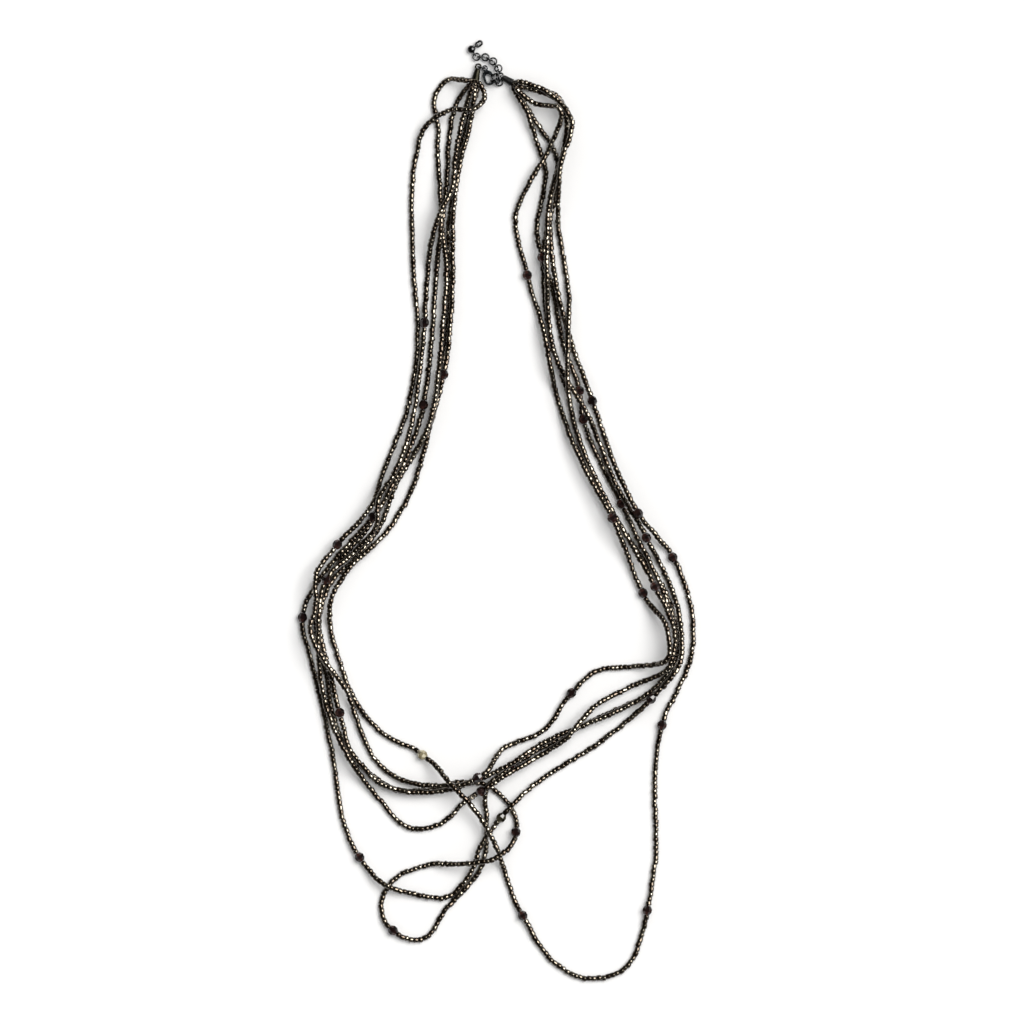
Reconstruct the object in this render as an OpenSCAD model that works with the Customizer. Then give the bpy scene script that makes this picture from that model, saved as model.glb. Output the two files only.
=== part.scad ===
/* [Strings] */
// Seed bead diameter, which is the thickness of a string across its flats
string_d = 2.4; // [1.6:0.1:2.6]
// Thickness of the thread inside the crystals and at the ends
thread_d = 0.6; // [0.3:0.1:0.8]
// Clear space between strings that cross or lie side by side
string_gap = 0.35; // [0.2:0.05:0.6]
// Length of string between two rings of a tube
ring_step = 14; // [12:1:20]

/* [Crystals] */
// Crystal diameter over its facets
crystal_d = 4.2; // [3.6:0.1:4.8]
// Crystal length along the thread
crystal_len = 3.8; // [3:0.1:5]
// Diameter of the flat end of a crystal
crystal_end_d = 2.4; // [1.8:0.1:3]
// Length of the crystal's straight belt
crystal_belt = 1.3; // [0.6:0.1:2]
// Diameter of the hole through a crystal
crystal_bore = 1; // [0.9:0.1:1.4]
// Gap between a crystal and the beads beside it
crystal_gap = 0.15; // [0.1:0.05:0.4]

/* [End cones] */
// Outer diameter of a cone's mouth
cone_mouth_d = 3.4; // [3.2:0.1:4.2]
// Outer diameter of a cone's narrow end
cone_top_d = 2.2; // [1.8:0.1:2.8]
// Length of a cone without its eye
cone_len = 4.4; // [3:0.1:5]
// Wall of a cone
cone_wall = 0.4; // [0.3:0.05:0.6]
// Inner diameter of a cone's eye
eye_bore = 1.5; // [1.4:0.1:1.8]
// Wire diameter of a cone's eye
eye_wire = 0.7; // [0.5:0.05:0.8]

/* [Chain] */
// Mean diameter of a chain link's ring
link_d = 2.9; // [2.7:0.1:3.3]
// Wire diameter of a chain link
link_wire = 0.66; // [0.5:0.02:0.7]
// Diameter of the ball near the chain's end
ball_d = 3.3; // [2.8:0.1:3.8]
// Length of the drop at the chain's end
drop_len = 3.7; // [3:0.1:5]
// Width of the drop at the chain's end
drop_w = 2.6; // [2.2:0.1:3.2]

/* [Lobster clasp] */
// Length of the clasp's body from the eye's centre to the nose
clasp_len = 7.6; // [7.2:0.1:8.6]
// Width of the clasp's body
clasp_w = 4.4; // [4.2:0.1:5]
// Thickness of the clasp's body
clasp_t = 1.8; // [1.7:0.1:2.2]
// Thickness of the clasp's nose
nose_t = 1.3; // [1.1:0.05:1.4]
// Width of the clasp's rim round its hook opening
clasp_rim = 1; // [0.85:0.05:1]
// Thickness of the clasp's lever
lever_t = 0.9; // [0.8:0.05:1]
// Diameter of the lever's pin
pin_d = 0.6; // [0.5:0.05:0.7]
// Running clearance round the lever and its pin
lever_gap = 0.12; // [0.08:0.02:0.2]

/* [Hidden] */
// Each row of a route is [x, y, layer], and a fourth value of 1 marks a crystal
// A higher layer lies on top where two strings meet
route_1 = [
    [-12.6, 180.8, 4], [-22, 180.5, 4], [-26.8, 173, 4], [-25.2, 162, 4], [-25.3, 148, 4],
    [-23.7, 124, 3], [-25.7, 101, 3], [-29.3, 57, 3], [-31.2, 44.5, 3, 1],
    [-43, 13, 3], [-52.4, -2.4, 3, 1], [-65.5, -17, 3], [-77, -32, 3], [-82, -44.8, 3, 1],
    [-79.3, -59, 3], [-74, -81, 3], [-68.3, -108.5, 3], [-65, -130, 3], [-58, -145.5, 3, 1],
    [-47.5, -157, 3], [-34, -161.2, 3], [-21.5, -162.3, 3], [-12.5, -154, 3], [-6.5, -139.5, 3],
    [1.5, -128.8, 5, 1], [16, -114.5, 5], [38, -100.5, 3], [64.5, -79, 3, 1], [76, -65, 3],
    [76.4, -45, 3], [62.5, -11.3, 3, 1], [49, 12.5, 3], [38, 40, 3], [24, 65, 3],
    [20.7, 97, 3], [22, 131, 3], [28.8, 164, 3], [26.5, 171.5, 3], [21, 174.8, 3],
    [8.8, 178.4, 3]
];
route_2 = [
    [-7, 179.2, 6], [-5.4, 174.5, 6], [-10, 169, 6], [-20, 168.3, 6], [-30.5, 161, 6],
    [-34.7, 147, 5], [-36.1, 116, 5], [-34.3, 62, 5], [-38.8, 40, 5],
    [-48.5, 15.5, 5], [-52.5, 3, 4], [-67.4, -14.2, 5, 1], [-76, -26, 5], [-76.6, -41, 5],
    [-78.8, -50, 5], [-63.8, -75, 5], [-54.8, -99, 5], [-52.3, -103.5, 5], [-44, -111.2, 5],
    [-26, -115.5, 5],
    [-8.4, -112, 5, 1], [2, -100.2, 5], [20, -91.7, 5], [31, -76.5, 5, 1], [40.5, -67.7, 5],
    [56, -65.5, 5], [71.5, -61.5, 5], [71, -49, 5], [61, -34.5, 5, 1], [54, -17, 5],
    [48, -3, 5, 1], [34.8, 21.3, 5], [24.8, 48, 5], [19.5, 74.5, 5], [12.4, 99, 5, 1],
    [7.5, 124, 5], [22, 153, 5], [26, 169, 5], [15, 171.3, 5], [7.9, 177.2, 5]
];
route_3 = [
    [-11.7, 179.2, 2], [-17, 172, 2], [-20.2, 159, 2], [-21.3, 140, 2], [-23.2, 120, 2],
    [-21.6, 101, 2], [-23, 79, 2], [-25.2, 56, 2], [-29.5, 34.5, 2], [-43, 10.5, 2],
    [-48.3, -4, 2], [-58.5, -18.5, 2], [-70, -30, 2], [-75, -46, 2], [-70.2, -69, 2],
    [-66.3, -84.8, 2, 1], [-61.5, -101.5, 2], [-56.5, -107.5, 2], [-52, -112.7, 2], [-39.5, -117.8, 2],
    [-11, -114.2, 2],
    [3, -107.7, 2], [20, -97, 2], [50.3, -84, 2], [68, -72.5, 2], [76, -58, 2],
    [71, -38, 2], [58, -10, 2], [52, 3, 2, 1], [43, 20.7, 2], [36, 38.5, 2, 1],
    [34.3, 50.5, 2, 1], [27.7, 69, 2], [22.8, 94, 2], [18.6, 106.4, 2, 1], [16.4, 119, 2],
    [20.2, 142, 2], [15.8, 156.5, 2], [12.2, 168, 2], [6.8, 176.6, 2]
];
route_4 = [
    [-10.8, 178.2, 3], [-13.3, 170, 3], [-17.7, 150, 3], [-19.5, 134.5, 5], [-24.8, 124, 6],
    [-30.3, 88, 5], [-30.8, 79, 5, 1], [-33, 57, 5], [-36, 37.5, 5],
    [-44, 14.7, 6], [-50.5, 4, 7], [-50.4, -4, 5], [-61, -18, 4], [-71.9, -29.2, 4, 1],
    [-75, -42, 4], [-75.3, -59, 4], [-72.8, -79.5, 4], [-62, -104.5, 4], [-49, -122, 4],
    [-37.5, -133, 4], [-25, -132, 4], [-13, -121.5, 4], [-7, -117.8, 4, 1], [10, -107.2, 4],
    [28.4, -95.8, 4], [40.6, -82.4, 4], [57, -73.3, 4], [71.5, -66, 4], [74.5, -54, 4],
    [66, -31.8, 4, 1], [50.5, -4.5, 4], [35.3, 27, 4], [30, 46, 4], [29.5, 70, 5],
    [29.8, 91, 5], [25.6, 119, 4], [26.5, 146, 4], [31, 164, 4], [20, 176.6, 4],
    [9.2, 180.6, 4]
];
route_5 = [
    [-9.6, 177.6, 1], [-11.3, 164, 1], [-15.8, 146, 1], [-18.8, 124, 1], [-18.9, 99, 1],
    [-22.7, 57.2, 1, 1], [-28.7, 35, 1], [-36, 9, 3], [-47.3, -9.7, 5],
    [-63, -25, 5], [-70.3, -39, 5], [-66.8, -62, 4], [-54, -88, 4], [-45.8, -95.3, 4],
    [-31.6, -102.5, 4, 1],
    [-19.5, -115, 8], [-7.5, -128.5, 8], [-0.8, -141, 4], [7.5, -164.5, 4], [10.5, -170, 4, 1],
    [24, -190, 4], [38, -196.5, 4], [53, -192.5, 4], [61, -176, 4], [62.8, -167.8, 4, 1],
    [66.2, -146, 4], [66.2, -109, 4], [69, -90, 4, 1], [81, -62, 4], [81.4, -42, 4],
    [73.5, -19.5, 4, 1], [59, -1, 4, 1], [48.5, 21, 4], [39.7, 46.2, 4, 1], [27.5, 82, 4],
    [22.3, 112, 2], [23, 136, 2], [29.8, 161, 2], [26, 173, 2], [9.2, 179.4, 2]
];
route_6 = [
    [-8.3, 177.5, 0], [-13.5, 160.5, 0], [-17, 143, 0], [-20.8, 118, 0], [-20.4, 90, 0],
    [-23.5, 60, 0], [-29, 34.5, 0], [-44, 11, 0], [-54.5, -7, 0], [-67, -22, 0],
    [-76.5, -45, 0], [-72.3, -68, 0], [-69, -86.5, 0], [-60.5, -104, 0], [-42, -117.3, 0],
    [-5, -115.2, 0], [5, -124, 0], [7.6, -135, 6, 1], [0, -145.5, 9],
    [-29, -148.8, 7], [-45, -156.3, 0], [-49, -167, 0], [-44, -176.2, 0, 1], [-31.5, -179.8, 0],
    [-21.2, -166.6, 0], [-7, -149.8, 0], [-4.7, -130, 0], [-4.8, -117, 0], [7, -106.9, 0, 1],
    [34, -91, 0], [74.5, -65, 0], [73.8, -43, 0], [52, -7, 0], [34.8, 25.5, 0],
    [29.5, 49, 0], [21.5, 76, 0], [19.3, 109, 0], [24.5, 149, 0], [16.6, 162.5, 0], [8.8, 175, 0]
];
routes = [route_1, route_2, route_3, route_4, route_5, route_6];

// A string's last bead stops short of the cone, and its thread goes on to this share of the way left
thread_reach = 0.45;
metal_z = 2.15;
left_mouth = [-9.3, 181.3, metal_z];
right_mouth = [5.8, 179.9, metal_z];
string_r = string_d / 2;
thread_r = thread_d / 2;
crystal_r = crystal_d / 2;

// Curve through a route, with tangents weighted by the spans on both sides
function flat(p) = [p[0], p[1]];
function span(r, i) = norm(flat(r[i + 1]) - flat(r[i]));
function chord(r, i) = (flat(r[i + 1]) - flat(r[i])) / span(r, i);
function blend_of(a, da, b, db) = (a * db + b * da) / (da + db);
function tangent(r, i) =
    i == 0 ? chord(r, 0)
    : i == len(r) - 1 ? chord(r, i - 1)
    : blend_of(chord(r, i - 1), span(r, i - 1), chord(r, i), span(r, i));
function curve_at(r, i, t) =
    let (d = span(r, i), t2 = t * t, t3 = t2 * t)
    (2 * t3 - 3 * t2 + 1) * flat(r[i]) + (t3 - 2 * t2 + t) * d * tangent(r, i)
    + (3 * t2 - 2 * t3) * flat(r[i + 1]) + (t3 - t2) * d * tangent(r, i + 1);

// Rings along a route are [x, y, radius, layer, reach, base]: reach is kept clear, base is the least height
is_crystal = function(p) len(p) > 3 && p[3] == 1;
crystal_half = crystal_len / 2 + crystal_gap;
function crystal_rings(r, i) =
    let (u = tangent(r, i) / norm(tangent(r, i)), a = flat(r[i]) - u * crystal_half,
        b = flat(r[i]) + u * crystal_half, layer = r[i][2])
    [
        [a[0], a[1], string_r, layer, crystal_r, crystal_r], [a[0], a[1], thread_r, layer, crystal_r, crystal_r],
        [b[0], b[1], thread_r, layer, crystal_r, crystal_r], [b[0], b[1], string_r, layer, crystal_r, crystal_r]
    ];
function bead_ring(p, layer) = [p[0], p[1], string_r, layer, string_r, string_r];
function point_rings(r, i) = is_crystal(r[i]) ? crystal_rings(r, i) : [bead_ring(r[i], r[i][2])];
function between_rings(r, i) =
    let (n = max(1, round(span(r, i) / ring_step)))
    n < 2 ? [] : [for (k = [1:n - 1])
        let (t = k / n) bead_ring(curve_at(r, i, t), r[i][2] * (1 - t) + r[i + 1][2] * t)];
function end_ring(p, mouth) =
    let (q = flat(mouth) + (flat(p) - flat(mouth)) * thread_reach)
    [q[0], q[1], thread_r, p[2], thread_r, metal_z];
function thread_ring(p) = [p[0], p[1], thread_r, p[2], string_r, string_r];
function route_rings(r) =
    let (last = r[len(r) - 1])
    concat(
        [end_ring(r[0], left_mouth), thread_ring(r[0])],
        [for (i = [0:len(r) - 1]) each concat(point_rings(r, i), i < len(r) - 1 ? between_rings(r, i) : [])],
        [thread_ring(last), end_ring(last, right_mouth)]
    );
rings = [for (r = routes) route_rings(r)];

// All rings in one row, with the row's first index of each string
string_count = len(routes);
function first_of(s) = s == 0 ? 0 : first_of(s - 1) + len(rings[s - 1]);
firsts = [for (s = [0:string_count - 1]) first_of(s)];
row = [for (s = [0:string_count - 1]) for (k = [0:len(rings[s]) - 1]) concat(rings[s][k], [s, k])];
// Columns of the row
layer_c = 3;
reach_c = 4;
base_c = 5;
string_c = 6;
ring_c = 7;
row_n = len(row);
function joined(i) = i >= 0 && i < row_n - 1 && row[i][string_c] == row[i + 1][string_c];
links_on = [for (i = [0:row_n - 2]) if (joined(i)) i];

// Rows of bands across the necklace, so that only near pieces are compared
band_h = 16;
band_low = -210;
band_n = 27;
function band_of(y) = floor((y - band_low) / band_h);
near_reach = crystal_d + string_gap;
longest = ring_step * 1.5;
bands = [for (b = [0:band_n - 1])
    let (y0 = band_low + b * band_h - longest, y1 = y0 + band_h + 2 * longest)
    [for (j = links_on) if (min(row[j][1], row[j + 1][1]) < y1 && max(row[j][1], row[j + 1][1]) > y0) j]];

// Places on stretches, and the rank there: its layer, then the later string, then the later ring
function stretch_reach(j) = min(row[j][reach_c], row[j + 1][reach_c]);
function same_place(i, j) = row[i][string_c] == row[j][string_c] && abs(i - j) < 5;
function place_on(j, t) = flat(row[j]) * (1 - t) + flat(row[j + 1]) * t;
function rank(j, t) =
    row[j][layer_c] * (1 - t) + row[j + 1][layer_c] * t + row[j][string_c] * 0.01 + row[j][ring_c] * 0.0001;
function boxes_near(i, j, c, far) =
    abs(row[i][c] + row[i + 1][c] - row[j][c] - row[j + 1][c])
    < abs(row[i][c] - row[i + 1][c]) + abs(row[j][c] - row[j + 1][c]) + 2 * far;
near_pairs = [for (i = links_on) for (j = bands[band_of(row[i][1])])
    if (i != j && !same_place(i, j))
        let (far = stretch_reach(i) + stretch_reach(j) + string_gap)
        if (boxes_near(i, j, 0, far) && boxes_near(i, j, 1, far)) [i, j, far]];

// Where two stretches cross or run near: [upper, place on it, lower, place on it, height needed]
function over_form(i, s, j, t, h) = rank(i, s) > rank(j, t) ? [i, s, j, t, h] : [j, t, i, s, h];
function turn_of(u, v) = u[0] * v[1] - u[1] * v[0];
function crossing(i, j, far) =
    let (a = flat(row[i]), u = flat(row[i + 1]) - a, c = flat(row[j]), v = flat(row[j + 1]) - c,
        w = turn_of(u, v), s = w == 0 ? -1 : turn_of(c - a, v) / w, t = w == 0 ? -1 : turn_of(c - a, u) / w)
    i > j || s < 0 || s > 1 || t < 0 || t > 1 ? [] : over_form(i, s, j, t, far);
function along(p, j) =
    let (a = flat(row[j]), d = flat(row[j + 1]) - a, dd = d * d)
    dd < 0.0001 ? 0 : max(0, min(1, ((p - a) * d) / dd));
function nearing(i, s, j, far) =
    let (p = place_on(i, s), t = along(p, j), d = norm(p - place_on(j, t)))
    d < far ? over_form(i, s, j, t, sqrt(far * far - d * d)) : [];
tested_places = [0, 0.25, 0.5, 0.75, 1];
overs_found = [for (q = near_pairs)
    each concat([crossing(q[0], q[1], q[2])], [for (s = tested_places) nearing(q[0], s, q[1], q[2])])];
over_all = [for (c = overs_found) if (len(c) > 0) c];
overs = [for (k = [0:row_n - 1])
    [for (c = concat(search(k, over_all, 0), search(k - 1, over_all, 0))) over_all[c]]];

// Heights: each pass lifts what lies too low over its neighbours, until all lie clear
function height_on(z, j, t) = t == 0 ? z[j] : z[j] * (1 - t) + z[j + 1] * t;
function share(k, c) = let (t = c[1], w = c[0] == k ? 1 - t : t) w / ((1 - t) * (1 - t) + t * t);
function over_need(z, k, c) =
    z[k] + share(k, c) * (height_on(z, c[2], c[3]) + c[4] - height_on(z, c[0], c[1]));
function one_spot(k) = joined(k) && norm(flat(row[k + 1]) - flat(row[k])) < 0.001;
twins = [for (k = [0:row_n - 1]) one_spot(k) ? k + 1 : one_spot(k - 1) ? k - 1 : k];
function lifted(z, k) = max(concat([z[k], z[twins[k]]], [for (c = overs[k]) over_need(z, k, c)]));
function passes(z, n) = n == 0 ? z : passes([for (k = [0:row_n - 1]) lifted(z, k)], n - 1);
lift_passes = 18;
heights = passes([for (p = row) p[base_c]], lift_passes);
function height(s, k) = heights[firsts[s] + k];

// A string's rings as [x, y, z, radius], from thread end to thread end
function xyz(p) = [p[0], p[1], p[2]];
function tube_rings(s) = [for (k = [0:len(rings[s]) - 1])
    [rings[s][k][0], rings[s][k][1], height(s, k), rings[s][k][2]]];

// Each ring faces along the string, and square to a crystal beside it
tube_sides = 8;
function step_on(r, i) = xyz(r[i + 1]) - xyz(r[i]);
function in_crystal(r, i) = i > 1 && i < len(r) - 3 && r[i][3] == thread_r && r[i + 1][3] == thread_r;
function heading(r, i) =
    let (n = len(r))
    i == 0 ? step_on(r, 0)
    : i == n - 1 ? step_on(r, n - 2)
    : i < 3 ? step_on(r, 2)
    : i > n - 4 ? step_on(r, n - 4)
    : in_crystal(r, i) ? step_on(r, i)
    : in_crystal(r, i - 1) ? step_on(r, i - 1)
    : in_crystal(r, i + 1) ? step_on(r, i + 1)
    : in_crystal(r, i - 2) ? step_on(r, i - 2)
    : xyz(r[i + 1]) - xyz(r[i - 1]);
function ring_points(p, d) =
    let (t = d / norm(d), side = cross([0, 0, 1], t) / norm(cross([0, 0, 1], t)), up = cross(t, side),
        round_r = p[3] / cos(180 / tube_sides))
    [for (k = [0:tube_sides - 1]) let (a = (k + 0.5) * 360 / tube_sides)
        xyz(p) + side * round_r * cos(a) + up * round_r * sin(a)];
function wall_faces(n, m) =
    [for (i = [0:n - 2]) for (k = [0:m - 1]) let (a = i * m + k, b = i * m + (k + 1) % m)
        each [[a, a + m, b], [b, a + m, b + m]]];
module tube(s) {
    r = tube_rings(s);
    n = len(r);
    m = tube_sides;
    points = [for (i = [0:n - 1]) each ring_points(r[i], heading(r, i))];
    first = [for (k = [0:m - 1]) k];
    last = [for (k = [m - 1:-1:0]) (n - 1) * m + k];
    polyhedron(points, concat([first, last], wall_faces(n, m)));
}

module string(s) {
    color("darkslategray") tube(s);
}

// Crystals, numbered along the strings in order
crystal_list = [for (s = [0:string_count - 1]) for (k = [0:len(rings[s]) - 2])
    if (in_crystal(tube_rings(s), k)) [s, k]];
crystal_count = len(crystal_list);
function ring_xyz(s, k) = [rings[s][k][0], rings[s][k][1], height(s, k)];
module crystal(c) {
    a = ring_xyz(crystal_list[c][0], crystal_list[c][1]);
    b = ring_xyz(crystal_list[c][0], crystal_list[c][1] + 1);
    d = b - a;
    flat_end = crystal_len / 2;
    color("saddlebrown")
        translate((a + b) / 2)
            rotate([0, 90 - asin(d[2] / norm(d)), atan2(d[1], d[0])])
                rotate(22.5)
                    rotate_extrude($fn = 8)
                        polygon([
                            [crystal_bore / 2, -flat_end], [crystal_end_d / 2, -flat_end],
                            [crystal_r, -crystal_belt / 2], [crystal_r, crystal_belt / 2],
                            [crystal_end_d / 2, flat_end], [crystal_bore / 2, flat_end]
                        ]);
}

// A round wire ring, lying flat about its centre
module wire_ring(mean_r, wire_r) {
    rotate_extrude($fn = 48) translate([mean_r, 0]) circle(wire_r, $fn = 24);
}

// End cones, each with its eye beyond the narrow end
left_up = 78;
right_up = 148;
mouth_out = -0.3;
eye_r = (eye_bore + eye_wire) / 2;
eye_at = cone_len + eye_r + eye_wire * 0.2;
module end_cone(mouth, up) {
    outer = cone_mouth_d / 2;
    top = cone_top_d / 2;
    color("dimgray")
        translate(mouth)
            rotate([0, 0, up]) {
                translate([mouth_out, 0, 0]) rotate([0, 90, 0]) difference() {
                    cylinder(h = cone_len, r1 = outer, r2 = top, $fn = 48);
                    translate([0, 0, -0.01])
                        cylinder(h = cone_len - cone_wall * 2, r1 = outer - cone_wall,
                            r2 = top - cone_wall, $fn = 48);
                }
                translate([mouth_out + eye_at, 0, 0]) wire_ring(eye_r, eye_wire / 2);
            }
}
function beyond(p, up, far) = p + far * [cos(up), sin(up), 0];
left_eye = beyond(left_mouth, left_up, mouth_out + eye_at);
right_eye = beyond(right_mouth, right_up, mouth_out + eye_at);

// Ring between the left cone's eye and the clasp's eye
ring_turn = -12;
link_r = link_d / 2;
clasp_eye = beyond(left_eye, ring_turn, link_d);
module clasp_ring() {
    color("dimgray")
        translate(beyond(left_eye, ring_turn, link_r))
            rotate([0, 0, ring_turn]) rotate([90, 0, 0]) wire_ring(link_r, link_wire / 2);
}

// Lobster clasp, along X from its eye to its nose, then turned into place
clasp_turn = -70;
clasp_eye_r = 1.25;
clasp_eye_hole = 0.7;
clasp_end_r = clasp_w / 2;
hook_r = clasp_end_r - clasp_rim;
neck_x = 3.3;
nose_x = clasp_len - clasp_end_r;
hook_from = 4;
pivot = [2.65, clasp_end_r - 1];
lever_end_r = 0.8;
lever_in = clasp_end_r - clasp_rim;
lever_tip = nose_x + 0.1;
tip_room = 0.3;
lever_open = 10;
thin_from = 4.6;
module bar(x0, x1, y0, y1, h) {
    translate([x0, y0, -h / 2]) cube([x1 - x0, y1 - y0, h]);
}
module disc(p, r, h) {
    translate([p[0], p[1], -h / 2]) cylinder(h = h, r = r, $fn = 48);
}
module long_disc(x0, x1, r, h) {
    disc([x0, 0], r, h);
    disc([x1, 0], r, h);
    bar(x0, x1, -r, r, h);
}
module lever_room() {
    room = lever_t + 2 * lever_gap;
    disc(pivot, lever_end_r + lever_gap, room);
    for (a = [0, -lever_open / 2, -lever_open])
        translate([pivot[0], pivot[1], 0]) rotate([0, 0, a])
            bar(-lever_gap, lever_tip - pivot[0] + lever_gap, lever_in - pivot[1] - lever_gap, 3, room);
}
module clasp_body() {
    color("darkslategray")
        translate(clasp_eye) rotate([0, 0, clasp_turn]) {
            difference() {
                union() {
                    disc([0, 0], clasp_eye_r, clasp_t * 0.6);
                    bar(0, neck_x, -0.9, 0.9, clasp_t * 0.6);
                    long_disc(neck_x, nose_x, clasp_end_r, clasp_t);
                }
                disc([0, 0], clasp_eye_hole, clasp_t + 1);
                long_disc(hook_from, nose_x, hook_r, clasp_t + 1);
                bar(pivot[0] + 0.6, lever_tip + tip_room, lever_in - 0.2, 3, clasp_t + 1);
                lever_room();
                for (side = [-1, 1])
                    translate([thin_from, -clasp_w, side > 0 ? nose_t / 2 : -nose_t / 2 - 1])
                        cube([clasp_w, clasp_w * 2, 1]);
            }
            disc(pivot, pin_d / 2, clasp_t * 0.9);
        }
}
module clasp_lever() {
    nub = pivot[0] + 1.3;
    color("slategray")
        translate(clasp_eye) rotate([0, 0, clasp_turn]) difference() {
            union() {
                disc(pivot, lever_end_r, lever_t);
                intersection() {
                    bar(pivot[0], lever_tip, lever_in, clasp_end_r, lever_t);
                    long_disc(neck_x, nose_x, clasp_end_r, clasp_t);
                }
                disc([nub, clasp_end_r], 0.6, lever_t);
            }
            disc(pivot, pin_d / 2 + lever_gap, lever_t + 1);
        }
}

// The hooked link is wider and stands round the clasp's nose
hook_turn = 50;
hooked_r = 1.75;
hook_far = clasp_end_r - clasp_rim + 1.18;
hooked = beyond(beyond(clasp_eye, clasp_turn, nose_x), clasp_turn + hook_turn, hook_far);

// Chain links as [x, y, z, turn, lean]: the run to the right cone, then the loose tail
run_rows = [[0.6, 179.95, 1.3, 0, 0], [1.02, 181.45, 1.85, 75, 90]];
tail_rows = [
    [-0.45, 180.22, 3.55, 95, 90], [-0.66, 182.14, 4.06, 0, 0], [-0.2, 184, 3.9, 75, 90], [0.3, 185.8, 3.3, 0, 0],
    [-0.78, 187.3, 2.7, 125, 90], [-1.9, 188.75, 2.15, 0, 0], [-3.55, 189.65, 1.9, 153, 90],
    [-5.2, 190.5, 1.5, 0, 0], [-7.05, 190.6, 1.85, 177, 90], [-8.9, 190.7, 1.7, 0, 0]
];
ball_at = [-11, 193.85, ball_d / 2 + 0.1];
drop_at = [-7.9, 196.1, ball_d / 2 + 0.1];
loop_r = 0.95;
loop_wire = 0.6;
loop_in = 0.4;
module link(p, turn, lean, mean_r) {
    translate(xyz(p)) rotate([lean, 0, turn]) wire_ring(mean_r, link_wire / 2);
}
module chain() {
    color("dimgray") {
        link(hooked, clasp_turn + hook_turn, 90, hooked_r);
        for (r = concat(run_rows, tail_rows)) link(r, r[3], r[4], link_r);
    }
}

// Ball at the chain's end, with a wire loop on both sides, and the drop that hangs from it
function towards(p, q) = (q - p) / norm(q - p);
module side_loop(q, far) {
    d = towards(ball_at, q);
    translate(ball_at + d * far)
        rotate([0, 0, atan2(d[1], d[0])]) rotate([90, 0, 0]) wire_ring(loop_r, loop_wire / 2);
}
module end_ball() {
    color("dimgray") {
        translate(ball_at) sphere(ball_d / 2, $fn = 48);
        side_loop(xyz(tail_rows[len(tail_rows) - 1]), ball_d / 2 + loop_r - loop_in);
        side_loop(drop_at, ball_d / 2 + loop_r - loop_in);
    }
}
drop_wire = 0.85;
module end_drop() {
    r = (drop_w - drop_wire) / 2;
    stretch_by = drop_len - drop_w;
    d = towards(ball_at, drop_at);
    color("dimgray")
        translate(drop_at) rotate([0, 0, atan2(d[1], d[0])]) {
            for (side = [-1, 1]) {
                translate([side * stretch_by / 2, 0, 0])
                    rotate([0, 0, side > 0 ? -90 : 90])
                        rotate_extrude(angle = 180, $fn = 48) translate([r, 0]) circle(drop_wire / 2, $fn = 24);
                translate([-stretch_by / 2, side * r, 0]) rotate([0, 90, 0])
                    cylinder(h = stretch_by, r = drop_wire / 2, $fn = 24);
            }
        }
}

two_digits = function(n) str(n < 10 ? "0" : "", n);
string_names = [for (s = [1:string_count]) str("string_", s)];
crystal_names = [for (c = [1:crystal_count]) str("crystal_", two_digits(c))];
// Shift that puts the middle of the whole outline at the origin
place = [0.8, -0.1, 0];
for (s = [0:string_count - 1]) translate(place) string(s);
for (c = [0:crystal_count - 1]) translate(place) crystal(c);
translate(place) end_cone(left_mouth, left_up);  // end_cone_left
translate(place) end_cone(right_mouth, right_up);  // end_cone_right
translate(place) clasp_ring();
translate(place) clasp_body();
translate(place) clasp_lever();
translate(place) chain();
translate(place) end_ball();
translate(place) end_drop();
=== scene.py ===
import math
import random

import bmesh
import bpy
from mathutils import Matrix, Vector
from mathutils.kdtree import KDTree


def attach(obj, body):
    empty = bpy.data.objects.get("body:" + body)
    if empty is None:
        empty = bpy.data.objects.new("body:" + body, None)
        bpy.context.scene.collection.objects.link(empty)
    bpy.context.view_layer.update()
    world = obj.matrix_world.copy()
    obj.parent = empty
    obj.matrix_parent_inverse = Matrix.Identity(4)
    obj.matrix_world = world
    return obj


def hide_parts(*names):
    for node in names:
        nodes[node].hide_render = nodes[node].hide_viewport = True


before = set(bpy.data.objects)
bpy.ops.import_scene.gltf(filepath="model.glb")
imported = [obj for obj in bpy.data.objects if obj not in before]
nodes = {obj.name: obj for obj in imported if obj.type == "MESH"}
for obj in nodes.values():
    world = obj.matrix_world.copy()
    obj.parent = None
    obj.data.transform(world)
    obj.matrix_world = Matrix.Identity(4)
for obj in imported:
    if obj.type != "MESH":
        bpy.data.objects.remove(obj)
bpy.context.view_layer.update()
mm = 0.001
print("frame loaded:", len(nodes), "nodes")

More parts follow.
